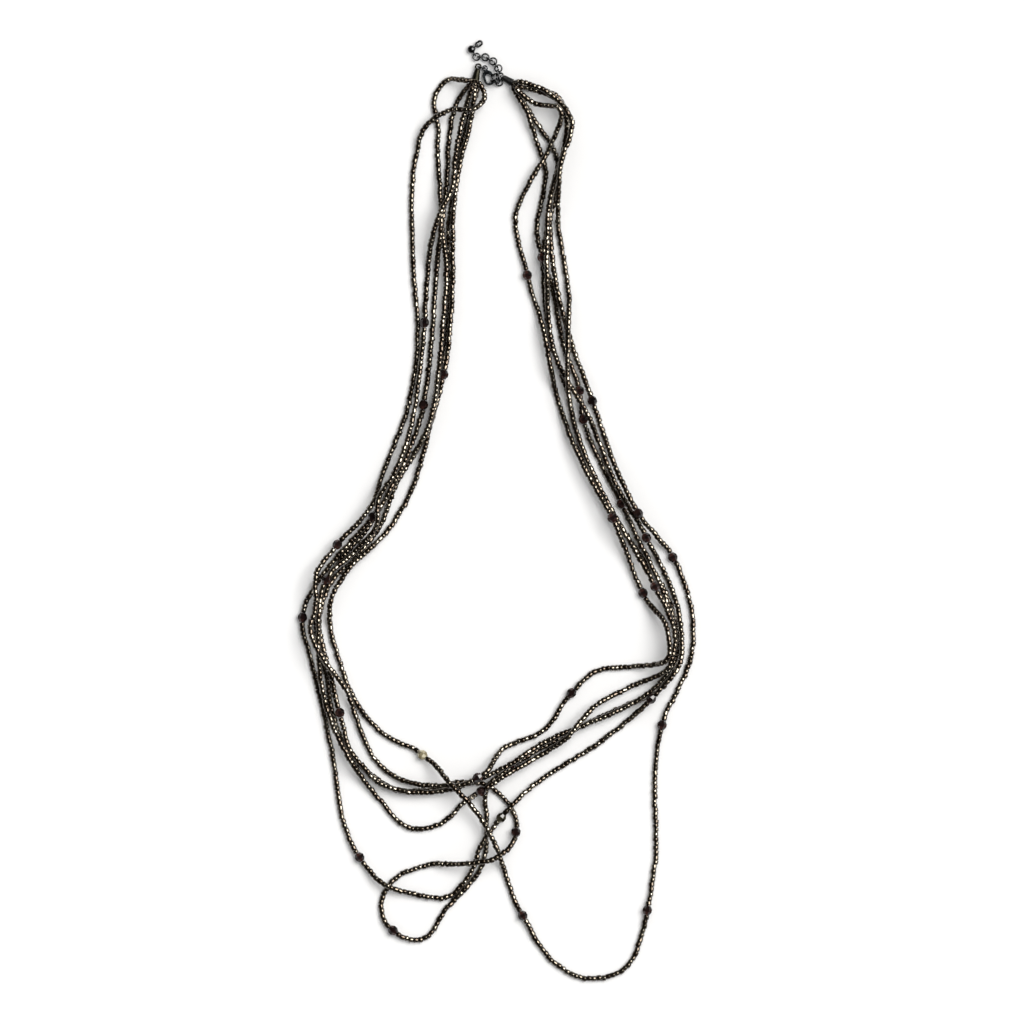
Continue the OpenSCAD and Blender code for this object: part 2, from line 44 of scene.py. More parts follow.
# The strands' routes as in the part's source, in millimetres: x, y, layer, and 1 for a crystal
strandRoutes = [
    [(-12.6, 180.8, 4), (-22, 180.5, 4), (-26.8, 173, 4), (-25.2, 162, 4), (-25.3, 148, 4),
     (-23.7, 124, 3), (-25.7, 101, 3), (-29.3, 57, 3), (-31.2, 44.5, 3, 1),
     (-43, 13, 3), (-52.4, -2.4, 3, 1), (-65.5, -17, 3), (-77, -32, 3), (-82, -44.8, 3, 1),
     (-79.3, -59, 3), (-74, -81, 3), (-68.3, -108.5, 3), (-65, -130, 3), (-58, -145.5, 3, 1),
     (-47.5, -157, 3), (-34, -161.2, 3), (-21.5, -162.3, 3), (-12.5, -154, 3), (-6.5, -139.5, 3),
     (1.5, -128.8, 5, 1), (16, -114.5, 5), (38, -100.5, 3), (64.5, -79, 3, 1), (76, -65, 3),
     (76.4, -45, 3), (62.5, -11.3, 3, 1), (49, 12.5, 3), (38, 40, 3), (24, 65, 3),
     (20.7, 97, 3), (22, 131, 3), (28.8, 164, 3), (26.5, 171.5, 3), (21, 174.8, 3),
     (8.8, 178.4, 3)],
    [(-7, 179.2, 6), (-5.4, 174.5, 6), (-10, 169, 6), (-20, 168.3, 6), (-30.5, 161, 6),
     (-34.7, 147, 5), (-36.1, 116, 5), (-34.3, 62, 5), (-38.8, 40, 5),
     (-48.5, 15.5, 5), (-52.5, 3, 4), (-67.4, -14.2, 5, 1), (-76, -26, 5), (-76.6, -41, 5),
     (-78.8, -50, 5), (-63.8, -75, 5), (-54.8, -99, 5), (-52.3, -103.5, 5), (-44, -111.2, 5),
     (-26, -115.5, 5),
     (-8.4, -112, 5, 1), (2, -100.2, 5), (20, -91.7, 5), (31, -76.5, 5, 1), (40.5, -67.7, 5),
     (56, -65.5, 5), (71.5, -61.5, 5), (71, -49, 5), (61, -34.5, 5, 1), (54, -17, 5),
     (48, -3, 5, 1), (34.8, 21.3, 5), (24.8, 48, 5), (19.5, 74.5, 5), (12.4, 99, 5, 1),
     (7.5, 124, 5), (22, 153, 5), (26, 169, 5), (15, 171.3, 5), (7.9, 177.2, 5)],
    [(-11.7, 179.2, 2), (-17, 172, 2), (-20.2, 159, 2), (-21.3, 140, 2), (-23.2, 120, 2),
     (-21.6, 101, 2), (-23, 79, 2), (-25.2, 56, 2), (-29.5, 34.5, 2), (-43, 10.5, 2),
     (-48.3, -4, 2), (-58.5, -18.5, 2), (-70, -30, 2), (-75, -46, 2), (-70.2, -69, 2),
     (-66.3, -84.8, 2, 1), (-61.5, -101.5, 2), (-56.5, -107.5, 2), (-52, -112.7, 2), (-39.5, -117.8, 2),
     (-11, -114.2, 2),
     (3, -107.7, 2), (20, -97, 2), (50.3, -84, 2), (68, -72.5, 2), (76, -58, 2),
     (71, -38, 2), (58, -10, 2), (52, 3, 2, 1), (43, 20.7, 2), (36, 38.5, 2, 1),
     (34.3, 50.5, 2, 1), (27.7, 69, 2), (22.8, 94, 2), (18.6, 106.4, 2, 1), (16.4, 119, 2),
     (20.2, 142, 2), (15.8, 156.5, 2), (12.2, 168, 2), (6.8, 176.6, 2)],
    [(-10.8, 178.2, 3), (-13.3, 170, 3), (-17.7, 150, 3), (-19.5, 134.5, 5), (-24.8, 124, 6),
     (-30.3, 88, 5), (-30.8, 79, 5, 1), (-33, 57, 5), (-36, 37.5, 5),
     (-44, 14.7, 6), (-50.5, 4, 7), (-50.4, -4, 5), (-61, -18, 4), (-71.9, -29.2, 4, 1),
     (-75, -42, 4), (-75.3, -59, 4), (-72.8, -79.5, 4), (-62, -104.5, 4), (-49, -122, 4),
     (-37.5, -133, 4), (-25, -132, 4), (-13, -121.5, 4), (-7, -117.8, 4, 1), (10, -107.2, 4),
     (28.4, -95.8, 4), (40.6, -82.4, 4), (57, -73.3, 4), (71.5, -66, 4), (74.5, -54, 4),
     (66, -31.8, 4, 1), (50.5, -4.5, 4), (35.3, 27, 4), (30, 46, 4), (29.5, 70, 5),
     (29.8, 91, 5), (25.6, 119, 4), (26.5, 146, 4), (31, 164, 4), (20, 176.6, 4),
     (9.2, 180.6, 4)],
    [(-9.6, 177.6, 1), (-11.3, 164, 1), (-15.8, 146, 1), (-18.8, 124, 1), (-18.9, 99, 1),
     (-22.7, 57.2, 1, 1), (-28.7, 35, 1), (-36, 9, 3), (-47.3, -9.7, 5),
     (-63, -25, 5), (-70.3, -39, 5), (-66.8, -62, 4), (-54, -88, 4), (-45.8, -95.3, 4),
     (-31.6, -102.5, 4, 1),
     (-19.5, -115, 8), (-7.5, -128.5, 8), (-0.8, -141, 4), (7.5, -164.5, 4), (10.5, -170, 4, 1),
     (24, -190, 4), (38, -196.5, 4), (53, -192.5, 4), (61, -176, 4), (62.8, -167.8, 4, 1),
     (66.2, -146, 4), (66.2, -109, 4), (69, -90, 4, 1), (81, -62, 4), (81.4, -42, 4),
     (73.5, -19.5, 4, 1), (59, -1, 4, 1), (48.5, 21, 4), (39.7, 46.2, 4, 1), (27.5, 82, 4),
     (22.3, 112, 2), (23, 136, 2), (29.8, 161, 2), (26, 173, 2), (9.2, 179.4, 2)],
    [(-8.3, 177.5, 0), (-13.5, 160.5, 0), (-17, 143, 0), (-20.8, 118, 0), (-20.4, 90, 0),
     (-23.5, 60, 0), (-29, 34.5, 0), (-44, 11, 0), (-54.5, -7, 0), (-67, -22, 0),
     (-76.5, -45, 0), (-72.3, -68, 0), (-69, -86.5, 0), (-60.5, -104, 0), (-42, -117.3, 0),
     (-5, -115.2, 0), (5, -124, 0), (7.6, -135, 6, 1), (0, -145.5, 9),
     (-29, -148.8, 7), (-45, -156.3, 0), (-49, -167, 0), (-44, -176.2, 0, 1), (-31.5, -179.8, 0),
     (-21.2, -166.6, 0), (-7, -149.8, 0), (-4.7, -130, 0), (-4.8, -117, 0), (7, -106.9, 0, 1),
     (34, -91, 0), (74.5, -65, 0), (73.8, -43, 0), (52, -7, 0), (34.8, 25.5, 0),
     (29.5, 49, 0), (21.5, 76, 0), (19.3, 109, 0), (24.5, 149, 0), (16.6, 162.5, 0), (8.8, 175, 0)],
]
place = Vector((0.8, -0.1))  # the source's own shift of the whole necklace

# How the strands lie, in millimetres
strandLay = {
    "beadRadius": 1.2,
    "threadRadius": 0.3,
    "crystalRadius": 2.1,
    "crystalHalf": 2.05,  # half a crystal and the gap beside it
    "gap": 0.35,
    "ringStep": 14,
    "threadReach": 0.45,
    "metalHeight": 2.15,
    "leftMouth": (-9.3, 181.3),
    "rightMouth": (5.8, 179.9),
    "liftPasses": 18,
    "beadSpare": 0.04,
    "strandRank": 0.01,  # what a strand's number adds to a layer, and a ring's number
    "ringRank": 0.0001,
    "ownRings": 5,  # stretches of one strand nearer than this aren't set against each other
    "spots": (0, 0.25, 0.5, 0.75, 1),  # where a stretch is set against those near it
    "samePlace": 0.001,
    "pointLike": 0.0001,  # square of a length that counts as none
}


def flat(point):
    return Vector((point[0], point[1]))


def isCrystal(point):
    return len(point) > 3 and point[3] == 1


def chord(route, i):
    return (flat(route[i + 1]) - flat(route[i])).normalized()


def span(route, i):
    return (flat(route[i + 1]) - flat(route[i])).length


def tangentAt(route, i):
    if i == 0:
        return chord(route, 0)
    if i == len(route) - 1:
        return chord(route, i - 1)
    before, after = span(route, i - 1), span(route, i)
    return (chord(route, i - 1) * after + chord(route, i) * before) / (before + after)


def smoothBetween(a, leave, b, arrive, d, t):
    # a place on the smooth curve from a to b that leaves and arrives in the given directions
    t2, t3 = t * t, t * t * t
    return (a * (2 * t3 - 3 * t2 + 1) + leave * d * (t3 - 2 * t2 + t)
            + b * (3 * t2 - 2 * t3) + arrive * d * (t3 - t2))


def curveAt(route, i, t):
    leave, arrive = tangentAt(route, i), tangentAt(route, i + 1)
    return smoothBetween(flat(route[i]), leave, flat(route[i + 1]), arrive, span(route, i), t)


class Ring:  # a place on a strand where its height is worked out
    def __init__(self, at, layer, reach, z, strand, part=""):
        self.at, self.layer, self.reach, self.z = at, layer, reach, z
        self.strand, self.part, self.index = strand, part, 0


def placeOf(ring):
    return Vector((ring.at.x, ring.at.y, ring.z))


def rankOf(layer, ring):
    # the higher rank lies on top, and the numbers settle what the layers leave open
    return layer + ring.strand * strandLay["strandRank"] + ring.index * strandLay["ringRank"]


def strandRings(route, strand):
    lay = strandLay
    bead, thread, stone = lay["beadRadius"], lay["threadRadius"], lay["crystalRadius"]

    def endRing(point, mouth):
        at = flat(mouth) + (flat(point) - flat(mouth)) * lay["threadReach"]
        return Ring(at, point[2], thread, lay["metalHeight"], strand)

    rings = [endRing(route[0], lay["leftMouth"]), Ring(flat(route[0]), route[0][2], bead, bead, strand)]
    for i, point in enumerate(route):
        if isCrystal(point):
            along = tangentAt(route, i).normalized() * lay["crystalHalf"]
            for side, part in ((-1, "bead"), (-1, "stone"), (1, "stone"), (1, "bead")):
                rings.append(Ring(flat(point) + along * side, point[2], stone, stone, strand, part))
        else:
            rings.append(Ring(flat(point), point[2], bead, bead, strand))
        if i < len(route) - 1:
            parts = max(1, math.floor(span(route, i) / lay["ringStep"] + 0.5))
            for k in range(1, parts):
                t = k / parts
                layer = point[2] * (1 - t) + route[i + 1][2] * t
                rings.append(Ring(curveAt(route, i, t), layer, bead, bead, strand))
    last = route[-1]
    rings += [Ring(flat(last), last[2], bead, bead, strand), endRing(last, lay["rightMouth"])]
    for index, ring in enumerate(rings):
        ring.index = index
    return rings


class Stretch:  # the straight piece between two rings of one strand
    def __init__(self, number, first, second):
        self.number, self.first, self.second = number, first, second
        self.reach = min(first.reach, second.reach)
        self.low = Vector((min(first.at.x, second.at.x), min(first.at.y, second.at.y)))
        self.high = Vector((max(first.at.x, second.at.x), max(first.at.y, second.at.y)))

    def place(self, t):
        return self.first.at * (1 - t) + self.second.at * t

    def rank(self, t):
        layer = self.first.layer * (1 - t) + self.second.layer * t
        return rankOf(layer, self.first)

    def height(self, t):
        return self.first.z * (1 - t) + self.second.z * t

    def nearest(self, point):
        along = self.second.at - self.first.at
        if along.length_squared < strandLay["pointLike"]:
            return 0
        return max(0, min(1, (point - self.first.at).dot(along) / along.length_squared))


# Where two stretches cross or run near: the upper one and the place on it, the same of the lower
# one, and the height needed between them
def overForm(a, s, b, t, need):
    return (a, s, b, t, need) if a.rank(s) > b.rank(t) else (b, t, a, s, need)


def turnOf(u, v):
    return u.x * v.y - u.y * v.x


def oversBetween(a, b, far):
    found = []
    u, v, w = a.second.at - a.first.at, b.second.at - b.first.at, b.first.at - a.first.at
    turn = turnOf(u, v)
    if turn and a.number < b.number:
        s, t = turnOf(w, v) / turn, turnOf(w, u) / turn
        if 0 <= s <= 1 and 0 <= t <= 1:
            found.append(overForm(a, s, b, t, far))
    for s in strandLay["spots"]:
        t = b.nearest(a.place(s))
        apart = (a.place(s) - b.place(t)).length
        if apart < far:
            found.append(overForm(a, s, b, t, math.sqrt(far * far - apart * apart)))
    return found


def allOvers(strands):
    stretches = []
    for rings in strands:
        for first, second in zip(rings, rings[1:]):
            stretches.append(Stretch(len(stretches), first, second))
    overs = []
    for a in stretches:
        for b in stretches:
            sameStrand = a.first.strand == b.first.strand
            if a is b or sameStrand and abs(a.first.index - b.first.index) < strandLay["ownRings"]:
                continue
            far = a.reach + b.reach + strandLay["gap"]
            if all(a.low[c] - far < b.high[c] and b.low[c] - far < a.high[c] for c in (0, 1)):
                overs += oversBetween(a, b, far)
    return overs


def liftRings(strands):
    overs = allOvers(strands)
    rings = [ring for strand in strands for ring in strand]
    for _ in range(strandLay["liftPasses"]):
        lifted = {ring: ring.z for ring in rings}
        for upper, s, lower, t, need in overs:
            lack = lower.height(t) + need - upper.height(s)
            spread = (1 - s) ** 2 + s ** 2
            for ring, weight in ((upper.first, 1 - s), (upper.second, s)):
                lifted[ring] = max(lifted[ring], ring.z + lack * weight / spread)
        for first, second in zip(rings, rings[1:]):
            together = (first.at - second.at).length < strandLay["samePlace"]
            if first.strand == second.strand and together:
                lifted[first] = max(lifted[first], second.z)
                lifted[second] = max(lifted[second], first.z)
        for ring in rings:
            ring.z = lifted[ring]


strands = [strandRings(route, number) for number, route in enumerate(strandRoutes)]
liftRings(strands)
highest = max(ring.z for rings in strands for ring in rings)
print("strands laid, highest ring", round(highest, 2), "mm")

# The seed beads, in millimetres
seedBead = {
    "shortest": 1.62,
    "longest": 2.3,
    "seam": 0.05,  # left between two beads
    "sides": 8,
    "wobble": 7,  # degrees off the thread
    "size": 0.09,  # share by which the radius varies
    "sizeRange": (-1, 0.6),  # how much of that share it takes, down and up
    "stray": 0.2,  # how far a seed sits off the line
    "pathStep": 0.35,  # between the places of a smooth path
    "lookBack": 2,  # places before and after a seed that give its direction
    "lookAhead": 3,
    "endSpare": 1,  # a row is full when less than this is left
    "nearReach": 2.4,  # seeds farther apart than this can't touch
    "ownSeeds": 6,  # seeds of one strand nearer than this aren't set against each other
    "clearPasses": 30,
    "clearShare": 0.6,  # of an overlap that one pass takes away
    "sag": 0.12,  # how far a seed may hang below its neighbours
    "slim": (1.0, 0.62),  # radius of the seeds that squeeze in at the cones, first and last
    "slimLength": 1.5,
    "slimReach": 0.9,  # how far they go on to the cone's mouth
    "seed": 27,
    # half profiles from one end to the other: share of the length, share of the radius
    "profiles": [
        [(-0.43, 0.32), (-0.5, 0.78), (-0.43, 0.95), (-0.33, 1),
         (0.33, 1), (0.43, 0.95), (0.5, 0.78), (0.43, 0.32)],
        [(-0.42, 0.32), (-0.49, 0.72), (-0.37, 0.95), (0, 1),
         (0.37, 0.95), (0.49, 0.72), (0.42, 0.32)],
        [(-0.42, 0.32), (-0.49, 0.7), (-0.38, 0.93), (-0.22, 0.99),
         (0.36, 1), (0.45, 0.95), (0.5, 0.8), (0.44, 0.32)],
    ],
}


class Knot:  # a place that the smooth path of a strand runs through
    def __init__(self, ring, direction=None):
        self.at = placeOf(ring)
        self.rank = rankOf(ring.layer, ring)
        self.direction = direction


def knotRuns(rings):
    # one run of knots for each unbroken row of beads: from thread end or crystal to the next one
    runs, run = [], [Knot(rings[1])]
    for before, ring in zip(rings[1:], rings[2:-2]):
        if ring.part == "stone" and before.part == "bead":
            other = rings[ring.index + 1]
            lean = Vector((other.at.x - ring.at.x, other.at.y - ring.at.y, other.z - ring.z))
            lean.normalize()
            run[-1].direction = lean
            runs.append(run)
            run = [Knot(other, lean)]
        elif ring.part == "stone" or (ring.at - before.at).length < strandLay["samePlace"]:
            continue
        else:
            run.append(Knot(ring))
    if (rings[-2].at - rings[-3].at).length > strandLay["samePlace"]:
        run.append(Knot(rings[-2]))
    runs.append(run)
    return runs


def slopeAt(run, i):
    if run[i].direction:
        return run[i].direction
    if i == 0 or i == len(run) - 1:
        a, b = (0, 1) if i == 0 else (i - 1, i)
        return (run[b].at - run[a].at).normalized()
    before, after = run[i].at - run[i - 1].at, run[i + 1].at - run[i].at
    mixed = before.normalized() * after.length + after.normalized() * before.length
    return mixed / (before.length + after.length)


def smoothRun(run):
    # close places along the run, each with its rank
    samples = []
    for i in range(len(run) - 1):
        a, b = run[i], run[i + 1]
        leave, arrive = slopeAt(run, i), slopeAt(run, i + 1)
        d = (b.at - a.at).length
        parts = max(1, round(d / seedBead["pathStep"]))
        for k in range(parts):
            t = k / parts
            at = smoothBetween(a.at, leave, b.at, arrive, d, t)
            at.z = max(min(a.at.z, b.at.z), min(max(a.at.z, b.at.z), at.z))
            samples.append((at, a.rank * (1 - t) + b.rank * t))
    samples.append((run[-1].at.copy(), run[-1].rank))
    return samples


class Seed:  # one bead: where it is, which way its hole points, and how big it is
    def __init__(self, strand, run, at, along, rank, length, radius):
        self.strand, self.run, self.at, self.along = strand, run, at, along
        self.rank, self.length, self.radius = rank, length, radius


def strungSeeds(samples, strand, run, dice):
    # a tight row of seeds of uneven length that fills the run
    reach = [0]
    for (a, _), (b, _) in zip(samples, samples[1:]):
        reach.append(reach[-1] + (b - a).length)
    lengths = []
    while sum(lengths) < reach[-1] - seedBead["endSpare"]:
        lengths.append(dice.uniform(seedBead["shortest"], seedBead["longest"]))
    fit = reach[-1] / sum(lengths)
    seeds, start, k = [], 0, 0
    for length in lengths:
        middle = start + length * fit / 2
        while k < len(reach) - 2 and reach[k + 1] < middle:
            k += 1
        t = (middle - reach[k]) / (reach[k + 1] - reach[k])
        at = samples[k][0].lerp(samples[k + 1][0], t)
        radius = strandLay["beadRadius"] * (1 + dice.uniform(*seedBead["sizeRange"]) * seedBead["size"])
        low = max(0, k - seedBead["lookBack"])
        high = min(len(samples) - 1, k + seedBead["lookAhead"])
        along = (samples[high][0] - samples[low][0]).normalized()
        long = length * fit - seedBead["seam"]
        seeds.append(Seed(strand, run, at, along, samples[k][1], long, radius))
        start += length * fit
    return seeds


def slimSeeds(start, mouth, strand, run, rank):
    # seeds that taper from the strand's first full one to the mouth of its cone
    end = start.lerp(mouth, seedBead["slimReach"])
    along = (end - start).normalized()
    count = max(1, round((end - start).length / seedBead["slimLength"]))
    length = (end - start).length / count - seedBead["seam"]
    wide, narrow = seedBead["slim"]
    seeds = []
    for k in range(count):
        t = (k + 0.5) / count
        radius = wide + (narrow - wide) * t
        seeds.append(Seed(strand, run, start.lerp(end, t), along, rank, length, radius))
    return seeds


def nearSeeds(seeds):
    # pairs of seeds that may touch, the upper one first
    tree = KDTree(len(seeds))
    for i, seed in enumerate(seeds):
        tree.insert((seed.at.x, seed.at.y, 0), i)
    tree.balance()
    pairs = []
    for i, seed in enumerate(seeds):
        for _, j, _ in tree.find_range((seed.at.x, seed.at.y, 0), seedBead["nearReach"]):
            other = seeds[j]
            if j <= i or other.strand == seed.strand and abs(j - i) < seedBead["ownSeeds"]:
                continue
            pairs.append((seed, other) if seed.rank > other.rank else (other, seed))
    return pairs


def clearSeeds(seeds):
    # the smooth paths stray a little from the straight stretches that were laid clear of each other
    pairs = nearSeeds(seeds)
    for _ in range(seedBead["clearPasses"]):
        for upper, lower in pairs:
            gap = upper.at - lower.at
            apart = upper.radius + lower.radius + strandLay["beadSpare"]
            need = apart ** 2 - gap.x ** 2 - gap.y ** 2
            if need > 0 and gap.z < math.sqrt(need):
                upper.at.z += (math.sqrt(need) - gap.z) * seedBead["clearShare"]
        for before, seed, after in zip(seeds, seeds[1:], seeds[2:]):
            if before.run == seed.run == after.run:
                level = (before.at.z + after.at.z) / 2
                seed.at.z = max(seed.at.z, level - seedBead["sag"])


def seedTemplates():
    templates = []
    for number, profile in enumerate(seedBead["profiles"]):
        bm = bmesh.new()
        points = [bm.verts.new((along, 0, radius)) for along, radius in profile]
        edges = [bm.edges.new(pair) for pair in zip(points, points[1:] + points[:1])]
        bmesh.ops.spin(bm, geom=points + edges, axis=(1, 0, 0), cent=(0, 0, 0), angle=math.tau,
                       steps=seedBead["sides"], use_merge=True)
        bmesh.ops.recalc_face_normals(bm, faces=bm.faces)
        for face in bm.faces:
            face.smooth = True
        mesh = bpy.data.meshes.new("seedTemplate" + str(number))
        bm.to_mesh(mesh)
        bm.free()
        templates.append(mesh)
    return templates


def addPiece(name, mesh, body="necklace"):
    piece = bpy.data.objects.new(name, mesh)
    bpy.context.collection.objects.link(piece)
    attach(piece, body)
    return piece


def seedMatrix(seed, dice):
    wobble = math.radians(seedBead["wobble"])
    turn = seed.along.to_track_quat("X", "Z").to_matrix().to_4x4()
    tilt = (Matrix.Rotation(dice.gauss(0, wobble), 4, "Y")
            @ Matrix.Rotation(dice.gauss(0, wobble), 4, "Z"))
    roll = Matrix.Rotation(dice.uniform(0, math.tau), 4, "X")
    grow = Matrix.Diagonal((seed.length, seed.radius, seed.radius, 1))
    side = Vector((-seed.along.y, seed.along.x, 0)) * dice.uniform(-1, 1) * seedBead["stray"]
    at = Vector((seed.at.x + place.x, seed.at.y + place.y, seed.at.z)) + side
    return Matrix.Scale(mm, 4) @ Matrix.Translation(at) @ turn @ tilt @ roll @ grow


def beadString(seeds, templates, dice):
    bm = bmesh.new()
    tint = bm.verts.layers.float.new("beadTint")
    for seed in seeds:
        template = dice.choice(templates)
        bm.from_mesh(template)
        bm.verts.ensure_lookup_table()
        fresh = bm.verts[-len(template.vertices):]
        bmesh.ops.transform(bm, matrix=seedMatrix(seed, dice), verts=fresh)
        shade = dice.random()
        for vert in fresh:
            vert[tint] = shade
    return bm


# Thread inside the seeds and crystals, in millimetres
strandThread = {"radius": 0.26, "step": 4, "sides": 2}


def mouthPlace(side):
    return Vector((*strandLay[side], strandLay["metalHeight"]))


def threadPlaces(rings, runs):
    places = [mouthPlace("leftMouth")]
    for run in runs:
        samples = smoothRun(run)
        places += [at for at, _ in samples[::strandThread["step"]]]
        places.append(samples[-1][0])
    places.append(mouthPlace("rightMouth"))
    return places


def threadMesh(name, places):
    curve = bpy.data.curves.new(name, "CURVE")
    curve.dimensions = "3D"
    curve.bevel_depth = strandThread["radius"] * mm
    curve.bevel_resolution = strandThread["sides"]
    spline = curve.splines.new("POLY")
    spline.points.add(len(places) - 1)
    for point, at in zip(spline.points, places):
        point.co = ((at.x + place.x) * mm, (at.y + place.y) * mm, at.z * mm, 1)
    spline.use_smooth = True
    helper = bpy.data.objects.new(name, curve)
    mesh = bpy.data.meshes.new_from_object(helper)
    bpy.data.objects.remove(helper)
    bpy.data.curves.remove(curve)
    return mesh


dice = random.Random(seedBead["seed"])
allSeeds, allThreads = [], []
runNumber = 0
for number, rings in enumerate(strands):
    runs = knotRuns(rings)
    allThreads.append(threadPlaces(rings, runs))
    for run in runs:
        allSeeds += strungSeeds(smoothRun(run), number, runNumber, dice)
        runNumber += 1
clearSeeds(allSeeds)
for number, rings in enumerate(strands):
    for side, ring in (("leftMouth", rings[1]), ("rightMouth", rings[-2])):
        allSeeds += slimSeeds(placeOf(ring), mouthPlace(side), number, runNumber, ring.layer)
        runNumber += 1
print("seeds strung:", len(allSeeds))


# Materials


def newMaterial(name):
    material = bpy.data.materials.new(name)
    material.use_nodes = True
    tree = material.node_tree
    return material, tree, tree.nodes["Principled BSDF"]


def addNode(tree, kind, settings=None, **values):
    node = tree.nodes.new("ShaderNode" + kind)
    for key, value in (settings or {}).items():
        setattr(node, key, value)
    for key, value in values.items():
        node.inputs[key].default_value = value
    return node


def addRamp(tree, source, stops):
    ramp = addNode(tree, "ValToRGB")
    elements = ramp.color_ramp.elements
    while len(elements) < len(stops):
        elements.new(0.5)
    for element, (position, colour) in zip(elements, stops):
        element.position, element.color = position, (*colour, 1)
    tree.links.new(source, ramp.inputs["Fac"])
    return ramp.outputs["Color"]


def noiseFrom(tree, coordinates, scale, detail=2.0, roughness=0.5):
    noise = addNode(tree, "TexNoise", Scale=scale, Detail=detail, Roughness=roughness)
    tree.links.new(coordinates, noise.inputs["Vector"])
    return noise.outputs["Fac"]


noiseSpan = {"From Min": 0.3, "From Max": 0.7}  # where nearly all of a noise's values lie


def spreadTo(tree, source, low, high):
    # turns a noise into values between two limits
    spread = addNode(tree, "MapRange", **noiseSpan, **{"To Min": low, "To Max": high})
    tree.links.new(source, spread.inputs["Value"])
    return spread.outputs["Result"]


def bumpFrom(tree, shader, source, strength, distance):
    bump = addNode(tree, "Bump", Strength=strength, Distance=distance)
    tree.links.new(source, bump.inputs["Height"])
    tree.links.new(bump.outputs["Normal"], shader.inputs["Normal"])


beadGlass = {
    "stops": [(0.0, (0.033, 0.02, 0.011)), (0.35, (0.054, 0.04, 0.026)),
              (0.7, (0.084, 0.07, 0.051)), (1.0, (0.174, 0.153, 0.122))],
    "metallic": 0.93,
    "roughness": (0.14, 0.26),
    "coat": 0.45,
    "coatRoughness": 0.1,
    "waveScale": 700,
    "bump": 0.25,
    "bumpDepth": 0.0002,
}


def seedMaterial():
    material, tree, shader = newMaterial("bronzeSeedGlass")
    shade = addNode(tree, "Attribute", {"attribute_name": "beadTint"}).outputs["Fac"]
    spot = addNode(tree, "TexCoord").outputs["Object"]
    tree.links.new(addRamp(tree, shade, beadGlass["stops"]), shader.inputs["Base Color"])
    wave = noiseFrom(tree, spot, beadGlass["waveScale"])
    tree.links.new(spreadTo(tree, wave, *beadGlass["roughness"]), shader.inputs["Roughness"])
    shader.inputs["Metallic"].default_value = beadGlass["metallic"]
    shader.inputs["Coat Weight"].default_value = beadGlass["coat"]
    shader.inputs["Coat Roughness"].default_value = beadGlass["coatRoughness"]
    bumpFrom(tree, shader, wave, beadGlass["bump"], beadGlass["bumpDepth"])
    return material


threadLook = {
    "stops": [(0.3, (0.006, 0.005, 0.004)), (0.7, (0.03, 0.025, 0.02))],
    "roughness": 0.7,
    "specular": 0.1,
    "fuzzScale": 2500,
    "bump": 0.4,
    "bumpDepth": 0.0001,
}


def threadMaterial():
    material, tree, shader = newMaterial("darkThread")
    spot = addNode(tree, "TexCoord").outputs["Object"]
    fuzz = noiseFrom(tree, spot, threadLook["fuzzScale"])
    tree.links.new(addRamp(tree, fuzz, threadLook["stops"]), shader.inputs["Base Color"])
    shader.inputs["Roughness"].default_value = threadLook["roughness"]
    shader.inputs["Specular IOR Level"].default_value = threadLook["specular"]
    bumpFrom(tree, shader, fuzz, threadLook["bump"], threadLook["bumpDepth"])
    return material


crystalGlass = {
    # the low stops are the stone's own dark colour; the lighter stops are painted reflections, given to
    # each facet by its direction
    "stops": [(0.35, (0.004, 0.003, 0.003)), (0.5, (0.014, 0.007, 0.0065)),
              (0.65, (0.042, 0.018, 0.015))],
    "paleStops": [(0.35, (0.12, 0.1, 0.06)), (0.5, (0.3, 0.26, 0.16)), (0.65, (0.6, 0.55, 0.4))],
    "oliveStops": [(0.35, (0.008, 0.007, 0.004)), (0.5, (0.03, 0.026, 0.015)),
                   (0.65, (0.09, 0.08, 0.05))],
    "pale": "crystal_24",  # the one champagne stone
    "olive": "crystal_05",  # and the one smoky green
    "roughness": 0.07,
    "specular": 0.4,
    "glintFacetScale": 2.6,
    "grainScale": 900,
    "bump": 0.08,
    "bumpDepth": 0.0001,
}


def crystalMaterial(name, stops):
    # each facet takes a brighter or darker colour by its direction: painted reflections, standing in
    # for the light inside a cut stone
    material, tree, shader = newMaterial(name)
    facing = addNode(tree, "NewGeometry").outputs["True Normal"]
    spot = addNode(tree, "TexCoord").outputs["Object"]
    # painted reflections: one colour for each facet's direction
    glintByFacet = noiseFrom(tree, facing, crystalGlass["glintFacetScale"], 0.0)
    tree.links.new(addRamp(tree, glintByFacet, crystalGlass[stops]), shader.inputs["Base Color"])
    shader.inputs["Roughness"].default_value = crystalGlass["roughness"]
    shader.inputs["Specular IOR Level"].default_value = crystalGlass["specular"]
    grain = noiseFrom(tree, spot, crystalGlass["grainScale"])
    bumpFrom(tree, shader, grain, crystalGlass["bump"], crystalGlass["bumpDepth"])
    return material


metalLook = {
    "patinaDetail": 4.0,
    "patinaRoughness": 0.6,
    "stops": (0.35, 0.65),  # where the patina is at its dark and at its light colour
    "fineScale": 3,  # times the patina's grain
    "fineDetail": 3.0,
    "bumpDepth": 0.0001,
    "kinds": {
        "darkChainMetal": {
            "colours": ((0.02, 0.02, 0.021), (0.055, 0.056, 0.058)),
            "roughness": (0.22, 0.36), "grain": 900, "bump": 0.12},
        "oliveConeMetal": {
            "colours": ((0.008, 0.0075, 0.005), (0.018, 0.017, 0.012)),
            "roughness": (0.38, 0.5), "grain": 900, "bump": 0.12},
        "greyConeMetal": {
            "colours": ((0.03, 0.03, 0.03), (0.08, 0.08, 0.08)),
            "roughness": (0.26, 0.4), "grain": 900, "bump": 0.12},
        "gunmetalClasp": {
            "colours": ((0.018, 0.02, 0.023), (0.05, 0.056, 0.062)),
            "roughness": (0.2, 0.34), "grain": 700, "bump": 0.08},
    },
}


